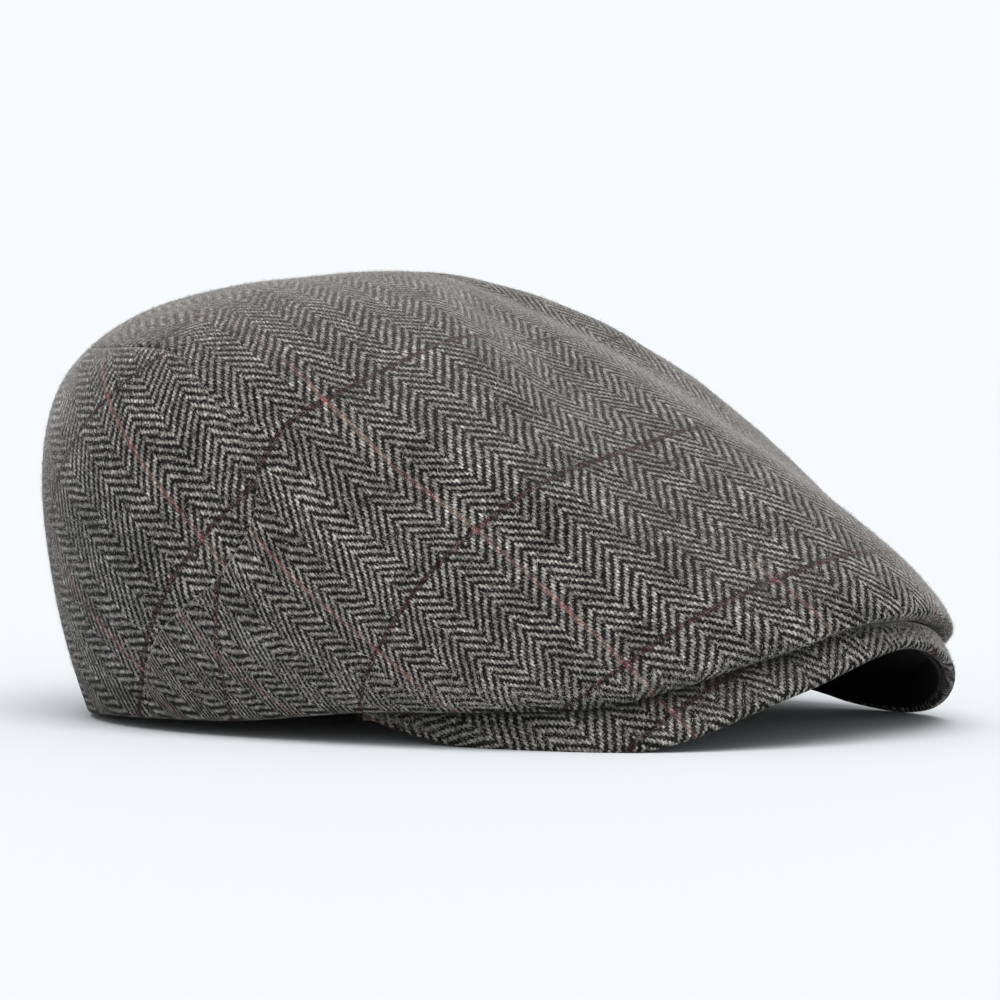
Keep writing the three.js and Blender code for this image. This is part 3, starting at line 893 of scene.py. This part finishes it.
def herringbone_tweed(name, settings):
    """Wool tweed, woven as a 2/2 twill that turns back on itself every few ends, with light warp
    and near-black weft, both spun from mixed fibres, then brushed. It gives the eye grey
    chevrons made of small rounded stitches, darkened at their edges and ends by painted shade,
    a pink warp and a maroon weft overcheck, and a pale haze of fibre, thickest on the upper
    side, where a paler colour is also painted on as painted top light."""
    material, add = new_material(name)

    def noise(across, forward, detail, out=0):
        """Noise with this many waves a metre across and along the cloth."""
        stretched = add("VectorMath.MULTIPLY", cloth, (across, forward, 1.0))
        inputs = {"Vector": stretched, "Scale": 1.0, "Detail": detail}
        return add("TexNoise", inputs, out=out)

    def hump(at):
        """1 - (2 f - 1)^2 for the fraction f of at: a yarn's round height across its width."""
        off_middle = add("Math.MULTIPLY_ADD", add("Math.FRACT", at), 2.0, -1.0)
        return add("Math.SUBTRACT", 1.0, add("Math.MULTIPLY", off_middle, off_middle))

    def every(at, period, first, count):
        """1 on the yarns from first to first + count - 1 of every period, else 0."""
        past_first = add("Math.SUBTRACT", at, first)
        return add("Math.LESS_THAN", add("Math.FLOORED_MODULO", past_first, period), count - 0.5)

    def laid_over(base, colour, where, strength=1.0):
        """The base colour, with another over it where where is 1, to a strength."""
        factor = add("Math.MULTIPLY", where, strength)
        return add("Mix", {0: factor, 6: base, 7: colour}, out=2, data_type="RGBA")

    def spun(fibre, low, high, first, second):
        """Yarn colour that goes from the first to the second as the fibre goes from low to high."""
        return laid_over(first, second, add("MapRange", fibre, low, high))

    cloth = add("UVMap", uv_map="cloth")
    place = cloth
    for waves, reach in ((180.0, settings.wander), (1100.0, settings.raggedness)):  # 6 and 0.9 mm
        off_middle = add("VectorMath.SUBTRACT", noise(waves, waves, 1.0, "Color"), (0.5, 0.5, 0.5))
        astray = add("VectorMath.SCALE", {"Vector": off_middle, "Scale": reach})
        place = add("VectorMath.ADD", place, astray)
    across, forward = (add("SeparateXYZ", place, out=axis) for axis in "XY")
    end_at = add("Math.DIVIDE", across, settings.end_pitch)
    pick_at = add("Math.DIVIDE", forward, settings.pick_pitch)
    end, pick = add("Math.FLOOR", end_at), add("Math.FLOOR", pick_at)

    # Twill: the stitch climbs one pick an end, and the other way in every odd stripe.
    stripe = add("Math.FLOOR", add("Math.DIVIDE", end, settings.ends_a_stripe))
    odd = add("Math.FLOORED_MODULO", stripe, 2.0)
    lean = add("Math.MULTIPLY_ADD", odd, -2.0, 1.0)
    offset = add("Math.MULTIPLY", odd, 2.0)
    step = add("Math.ADD", add("Math.MULTIPLY_ADD", end, lean, pick), offset)
    phase = add("Math.FLOORED_MODULO", step, 4.0)
    warp_up = add("Math.LESS_THAN", phase, 1.5)

    # Relief: each stitch is round across its yarn and sinks at both of its ends.
    leaning_end = add("Math.MULTIPLY", end_at, lean)
    humps = []
    for side_at, length_at in ((pick_at, leaning_end), (end_at, pick_at)):
        stitch = add("Math.ADD", phase, add("Math.FRACT", length_at))
        round_end = add("Math.POWER", hump(add("Math.DIVIDE", stitch, 2.0)), 0.5)
        humps.append(add("Math.MULTIPLY", hump(side_at), round_end))
    height = add("Mix", {0: warp_up, 2: humps[0], 3: humps[1]})

    blotch = noise(75.0, 75.0, 3.0)  # 13 mm: brushed and bare places
    heather = noise(700.0, 700.0, 2.0)  # 1.4 mm: mixed wool
    warp_fibre = noise(2600.0, 420.0, 2.0)  # 0.4 by 2.4 mm: strands along a yarn
    weft_fibre = noise(420.0, 2600.0, 2.0)
    light = spun(warp_fibre, 0.3, 0.72, settings.warp_dark, settings.warp_light)
    dark = spun(weft_fibre, 0.35, 0.75, settings.weft_dark, settings.weft_light)
    pink = spun(blotch, 0.35, 0.65, settings.pink, settings.pink_faded)
    maroon = spun(heather, 0.42, 0.68, settings.maroon_dark, settings.maroon)

    # Overcheck: the pink shows in stretches, least over the crown and where the surface faces up.
    pink_end = every(end, settings.ends_a_check, settings.pink_end, settings.pink_ends)
    first, check = settings.maroon_pick, settings.picks_a_check
    maroon_pick = every(pick, check, first, settings.maroon_picks)
    beside = every(pick, check, first - 1, 3)
    upward = add("SeparateXYZ", add("TexCoord", out="Normal"), out="Z")
    off_top = add("MapRange", add("Math.ABSOLUTE", across), 0.055, 0.08, 0.25)
    in_front = add("MapRange", forward, 0.14, 0.15)
    shown = add("Math.MAXIMUM", off_top, in_front)
    stretches = noise(14.0, 60.0, 1.0)  # 70 by 17 mm
    patchy = add("Math.MULTIPLY_ADD", stretches, 2.0, -0.2)
    shown = add("Math.MINIMUM", add("Math.MULTIPLY", shown, patchy), 1.0)
    fainter_facing_up = add("MapRange", upward, 0.65, 0.85, 1.0, 0.3)
    pink_end = add("Math.MULTIPLY", pink_end, add("Math.MULTIPLY", shown, fainter_facing_up))
    light = laid_over(laid_over(light, pink, pink_end, 0.85), maroon, maroon_pick, 0.8)
    dark = laid_over(laid_over(dark, pink, pink_end, 0.4), maroon, maroon_pick, 0.85)
    woven = laid_over(dark, light, warp_up)
    knot = add("Math.MULTIPLY", pink_end, beside)
    woven = laid_over(woven, settings.crossing, knot, 0.7)

    # Shade: painted shade darkens each stitch towards its edges and ends, where the yarns dip, and
    # the yarn is uneven at every scale.
    slub = noise(1300.0, 160.0, 1.0)  # 0.8 by 6 mm: thick and thin places of a yarn
    chance = add("TexWhiteNoise", {"Vector": add("CombineXYZ", end, pick)}, noise_dimensions="2D")
    # painted shade from the yarn relief, then random mottling of tone
    shade = add("Math.MULTIPLY_ADD", height, 0.75, 0.45)
    uneven = ((blotch, 1.8, 0.1), (heather, 2.2, -0.1), (chance, 0.8, 0.6), (slub, 1.6, 0.2))
    for mottling, gain, least in uneven:
        shade = add("Math.MULTIPLY", shade, add("Math.MULTIPLY_ADD", mottling, gain, least))
    shaded = add("VectorMath.SCALE", {"Vector": woven, "Scale": shade})
    # painted top light: the colour is drawn towards a pale grey where the surface faces up
    painted_top_light = add("MapRange", upward, 0.6, 0.95, 0.0, settings.painted_top_light)
    haze = add("MapRange", upward, -0.3, 0.7, settings.haze * 0.1, settings.haze)
    relief = {"Strength": 0.5, "Distance": settings.yarn_relief, "Height": height}
    inputs = {
        "Base Color": laid_over(shaded, settings.painted_top_light_colour, painted_top_light),
        "Roughness": 0.9,
        "Specular IOR Level": 0.1,
        "Sheen Weight": haze,
        "Sheen Roughness": 0.22,
        "Sheen Tint": settings.haze_colour,
        "Normal": add("Bump", relief),
    }
    add("OutputMaterial", add("BsdfPrincipled", inputs))
    return material


def loose_wool(name, settings):
    """Loose wool fibre, grey and slightly see-through, lighter and darker from place to place."""
    material, add = new_material(name)
    patch = add("TexNoise", {"Vector": add("TexCoord", out="Object"), "Scale": 900.0})
    shade = add("MapRange", patch, 0.3, 0.7, 0.5)
    colour = add("VectorMath.SCALE", {"Vector": settings.nap_colour, "Scale": shade})
    solid = add("BsdfDiffuse", colour)
    through = add("BsdfTranslucent", colour)
    add("OutputMaterial", add("MixShader", 0.3, solid, through))
    return material


def facing_cloth(name, settings):
    """Plain black cotton twill facing, matt, with a fine even weave 0.4 mm apart."""
    material, add = new_material(name)
    cloth = add("UVMap", uv_map="cloth")
    ribs = {"Vector": cloth, "Scale": 400.0, "Distortion": 1.0, "Detail": 1.0}
    weave = add("TexWave", ribs, out="Fac")
    inputs = {
        "Base Color": settings.facing,
        "Roughness": 0.9,
        "Specular IOR Level": 0.2,
        "Normal": add("Bump", {"Strength": 0.4, "Distance": 0.1 * MM, "Height": weave}),
    }
    add("OutputMaterial", add("BsdfPrincipled", inputs))
    return material


def plain_matt(name, colour):
    """Matt painted board, one even colour, as a studio table top is."""
    material, add = new_material(name)
    add("OutputMaterial", add("BsdfPrincipled", {"Base Color": colour, "Roughness": 0.8}))
    return material


def studio_walls(stage):
    """White studio walls, bright round the horizon and dimmer overhead, where the lamp hangs."""
    world = bpy.data.worlds.new("studio_walls")
    world.use_nodes = True
    world.node_tree.nodes.clear()
    add = partial(add_node, world.node_tree)
    height = add("SeparateXYZ", add("TexCoord", out="Generated"), out="Z")
    strength = add("MapRange", height, 0.12, 0.4, stage.wall_strength, stage.ceiling_strength)
    add("OutputWorld", add("Background", stage.wall_colour, strength))
    return world


# ---- Settings ----


def colour_property(name, description, code):
    """A colour, from its sRGB hex value."""
    return FloatVectorProperty(
        name=name, description=description, default=linear_colour(code),
        subtype="COLOR", min=0, max=1,
    )


def length_property(name, description, default):
    """A length, in millimetres."""
    return FloatProperty(
        name=name, description=description, default=default * MM, unit="LENGTH", precision=5
    )


def share_property(name, description, default):
    """A share from 0 to 1."""
    return FloatProperty(name=name, description=description, default=default, min=0, max=1)


def count_property(name, description, default, most=49000):
    """A whole number of yarns or fibres."""
    return IntProperty(name=name, description=description, default=default, min=1, max=most)


def strength_property(name, description, default):
    """The strength of a light."""
    return FloatProperty(name=name, description=description, default=default, min=0)


class TweedSettings(bpy.types.PropertyGroup):
    """The cloth of the crown and peak."""

    end_pitch: length_property("End pitch", "Distance between warp yarns", 0.693)
    pick_pitch: length_property("Pick pitch", "Distance between weft yarns", 0.86)
    ends_a_stripe: count_property("Ends a stripe", "Warp yarns between turns of the chevrons", 11)
    ends_a_check: count_property("Ends a check", "Warp yarns between pink lines", 66)
    picks_a_check: count_property("Picks a check", "Weft yarns between maroon lines", 66)
    pink_end: count_property("Pink end", "Where the first pink yarn lies", 5)
    pink_ends: count_property("Pink ends", "Pink yarns side by side", 2)
    maroon_pick: count_property("Maroon pick", "Where the first maroon yarn lies", 50)
    maroon_picks: count_property("Maroon picks", "Maroon yarns side by side", 2)
    wander: length_property("Wander", "How far the yarns stray over a few millimetres", 1.2)
    raggedness: length_property("Raggedness", "How far the yarns' edges stray", 0.7)
    yarn_relief: length_property("Yarn relief", "How far the yarns stand up", 0.25)
    haze: share_property("Haze", "How much the brushed fibres catch light at grazing angles", 1.0)
    # painted top light: how far the upper side's colour is painted paler, and the pale colour it is
    # painted towards
    painted_top_light: share_property("Felt", "How far the upper side has felted over", 0.08)
    painted_top_light_colour: colour_property("Felt", "Colour of felted wool", "#A8A49E")
    haze_colour: colour_property("Haze colour", "Colour of the brushed fibres", "#D8D4D0")
    warp_light: colour_property("Warp, light", "Palest fibres of the warp", "#93908A")
    warp_dark: colour_property("Warp, dark", "Darkest fibres of the warp", "#484644")
    weft_light: colour_property("Weft, light", "Palest fibres of the weft", "#2A2827")
    weft_dark: colour_property("Weft, dark", "Darkest fibres of the weft", "#080707")
    pink: colour_property("Pink", "Overcheck along the warp", "#8F6060")
    pink_faded: colour_property("Pink, faded", "Palest stretches of the pink yarn", "#75685F")
    maroon: colour_property("Maroon", "Overcheck along the weft", "#402529")
    maroon_dark: colour_property("Maroon, dark", "Darkest stretches of the maroon yarn", "#1A1012")
    crossing: colour_property("Crossing", "Where pink and maroon cross", "#7A4C50")
    facing: colour_property("Facing", "Cloth under the peak", "#0E0E10")


class NapSettings(bpy.types.PropertyGroup):
    """Loose fibres that stand off the cloth."""

    fibres: count_property("Long fibres", "Long loose fibres on the crown", 12000, most=19900)
    short_fibres: count_property("Short fibres", "Short fibres on each side of the crown", 45000)
    peak_fibres: count_property("Peak fibres", "Short fibres on the peak", 9000)
    short_length: length_property("Short length", "Length of the longest short fibres", 1.2)
    length: length_property("Length", "Length of the longest fibres", 1.9)
    width: length_property("Width", "Width of a fibre at its foot", 0.1)
    rise: FloatProperty(
        name="Rise", description="Steepest lean of a fibre off the cloth",
        default=0.9, subtype="ANGLE", min=0.1, max=1.5,
    )
    seed: IntProperty(name="Seed", description="Which fibres chance picks", default=7)
    nap_colour: colour_property("Nap", "Colour of the loose fibres", "#EAE6E0")


class ShapeSettings(bpy.types.PropertyGroup):
    """The forms of the sewn cap."""

    seam_depth: length_property("Seam depth", "How far the cloth sinks into the seams", 0.45)
    softness: length_property("Softness", "Depth of the slow waves in the crown", 0.35)


class StageSettings(bpy.types.PropertyGroup):
    """Table, lights and camera."""

    table_colour: colour_property("Table", "Colour of the table top", "#D8DADC")
    wall_colour: colour_property("Walls", "Colour of the studio walls", "#F7FBFE")
    wall_strength: strength_property("Walls", "Strength of the light from the walls", 1.0)
    ceiling_strength: strength_property("Ceiling", "Strength of the light from overhead", 0.55)
    lamp_strength: strength_property("Lamp", "Strength of the lamp overhead", 2.8)
    fill_strength: strength_property("Low lamp", "Strength of the lamp beside the camera", 0.85)
    lamp_width: FloatProperty(
        name="Lamp width", description="Angle that the lamp fills, seen from the cap",
        default=1.0, subtype="ANGLE", min=0, max=3,
    )
    lens: FloatProperty(
        name="Lens", description="Focal length on a 36 mm wide sensor", default=161.35, min=1
    )


# ---- Operators ----


def dress(piece, material, node):
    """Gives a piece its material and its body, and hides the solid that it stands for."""
    piece.data.materials.append(material)
    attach(piece, "root")
    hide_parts(node)


def tweed(context):
    """The tweed material, made once."""
    name = "herringbone_wool_tweed"
    return bpy.data.materials.get(name) or herringbone_tweed(name, context.scene.cap_tweed)


class CAP_OT_crown(bpy.types.Operator):
    """Makes the crown's main panel and its two back panels"""

    bl_idname = "cap.crown"
    bl_label = "Crown panels"

    def execute(self, context):
        shape = context.scene.cap_shape
        panels = (
            ("main_panel", 0, main_panel_cloth, "crown_main"),
            ("back_panel_right", -1, back_panel_cloth, "crown_back_right"),
            ("back_panel_left", 1, back_panel_cloth, "crown_back_left"),
        )
        for name, side, cloth, node in panels:
            dress(crown_panel(name, side, cloth, shape), tweed(context), node)
        return {"FINISHED"}


class CAP_OT_peak(bpy.types.Operator):
    """Makes the stiff peak, covered in tweed"""

    bl_idname = "cap.peak"
    bl_label = "Peak"

    def execute(self, context):
        angles = np.linspace(-PEAK_HALF_ANGLE, PEAK_HALF_ANGLE, PEAK_COLUMNS)
        wall = peak_wall(angles)
        piece = peak_piece("peak_cover", angles, 0, wall * 0, wall)
        dress(piece, tweed(context), "peak")
        return {"FINISHED"}


class CAP_OT_facing(bpy.types.Operator):
    """Makes the black cloth under the peak"""

    bl_idname = "cap.facing"
    bl_label = "Peak facing"

    def execute(self, context):
        end = PEAK_HALF_ANGLE - FACING_SHORT
        angles = np.linspace(-end, end, FACING_COLUMNS)
        depth = peak_wall(angles) + FACING_GAP
        wall = np.full_like(angles, FACING_WALL)
        piece = peak_piece("peak_underside", angles, FACING_STOP, depth, wall)
        material = facing_cloth("black_cotton_facing", context.scene.cap_tweed)
        dress(piece, material, "peak_facing")
        return {"FINISHED"}


class CAP_OT_nap(bpy.types.Operator):
    """Makes the loose wool fibres that stand off the crown"""

    bl_idname = "cap.nap"
    bl_label = "Nap"

    def execute(self, context):
        nap = context.scene.cap_nap
        shape = context.scene.cap_shape
        wool = loose_wool("loose_wool_fibre", nap)
        pieces = (
            crown_nap("crown_nap", nap.fibres, (-180, 180), shape, nap, True),
            crown_nap("crown_fuzz_right", nap.short_fibres, (-180, 0), shape, nap, False),
            crown_nap("crown_fuzz_left", nap.short_fibres, (0, 180), shape, nap, False),
            peak_nap("peak_fuzz", nap.peak_fibres, nap),
        )
        for piece in pieces:
            piece.data.materials.append(wool)
            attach(piece, "root")
        return {"FINISHED"}


class CAP_OT_stage(bpy.types.Operator):
    """Makes the table top, the surroundings, the lights and the camera"""

    bl_idname = "cap.stage"
    bl_label = "Stage"

    def execute(self, context):
        scene = context.scene
        stage = scene.cap_stage
        mesh = bpy.data.meshes.new("table_top")
        corners = np.array(((-1, -1, 0), (1, -1, 0), (1, 1, 0), (-1, 1, 0))) * TABLE_HALF
        mesh.from_pydata(corners, [], [(0, 1, 2, 3)])
        floor = in_scene("table_top", mesh)
        mesh.materials.append(plain_matt("matt_white_board", stage.table_colour))
        scene.world = studio_walls(stage)
        lamps = (
            ("soft_box_above", stage.lamp_strength, LAMP_DIRECTION),
            ("soft_box_low", stage.fill_strength, FILL_DIRECTION),
        )
        for name, strength, direction in lamps:
            lamp = bpy.data.lights.new(name, "SUN")
            lamp.energy = strength
            lamp.angle = stage.lamp_width
            holder = in_scene(name, lamp)
            holder.rotation_euler = direction.to_track_quat("-Z", "Y").to_euler()
        camera = bpy.data.cameras.new("view")
        camera.lens = stage.lens
        camera.sensor_width = 36
        camera.clip_end = 50
        holder = in_scene("view", camera)
        holder.location = VIEW_TARGET - VIEW_DIRECTION * VIEW_DISTANCE
        holder.rotation_euler = VIEW_DIRECTION.to_track_quat("-Z", "Y").to_euler()
        scene.camera = holder
        scene.view_settings.view_transform = "Standard"
        return {"FINISHED"}


class CAP_PT_panel(bpy.types.Panel):
    """Lists the pieces and their settings"""

    bl_label = "Flat cap"
    bl_idname = "CAP_PT_panel"
    bl_space_type = "VIEW_3D"
    bl_region_type = "UI"
    bl_category = "Flat cap"

    def draw(self, context):
        for operator in OPERATORS:
            self.layout.operator(operator.bl_idname)
        for scene_name, _ in SETTINGS:
            settings = getattr(context.scene, scene_name)
            box = self.layout.box()
            for name in settings.__annotations__:
                box.prop(settings, name)


SETTINGS = (
    ("cap_tweed", TweedSettings),
    ("cap_nap", NapSettings),
    ("cap_shape", ShapeSettings),
    ("cap_stage", StageSettings),
)
OPERATORS = (CAP_OT_crown, CAP_OT_peak, CAP_OT_facing, CAP_OT_nap, CAP_OT_stage)
CLASSES = (*(kind for _, kind in SETTINGS), *OPERATORS, CAP_PT_panel)


def register():
    """Registers the classes and puts their settings on the scene."""
    for kind in CLASSES:
        bpy.utils.register_class(kind)
    for name, kind in SETTINGS:
        setattr(bpy.types.Scene, name, PointerProperty(type=kind))


def unregister():
    """Takes the settings and the classes away again."""
    for name, _ in SETTINGS:
        delattr(bpy.types.Scene, name)
    for kind in reversed(CLASSES):
        bpy.utils.unregister_class(kind)


def main():
    """Builds the cap and its stage."""
    register()
    bpy.ops.cap.crown()
    bpy.ops.cap.peak()
    bpy.ops.cap.facing()
    bpy.ops.cap.nap()
    bpy.ops.cap.stage()
    bpy.context.view_layer.update()


if __name__ == "__main__":
    main()
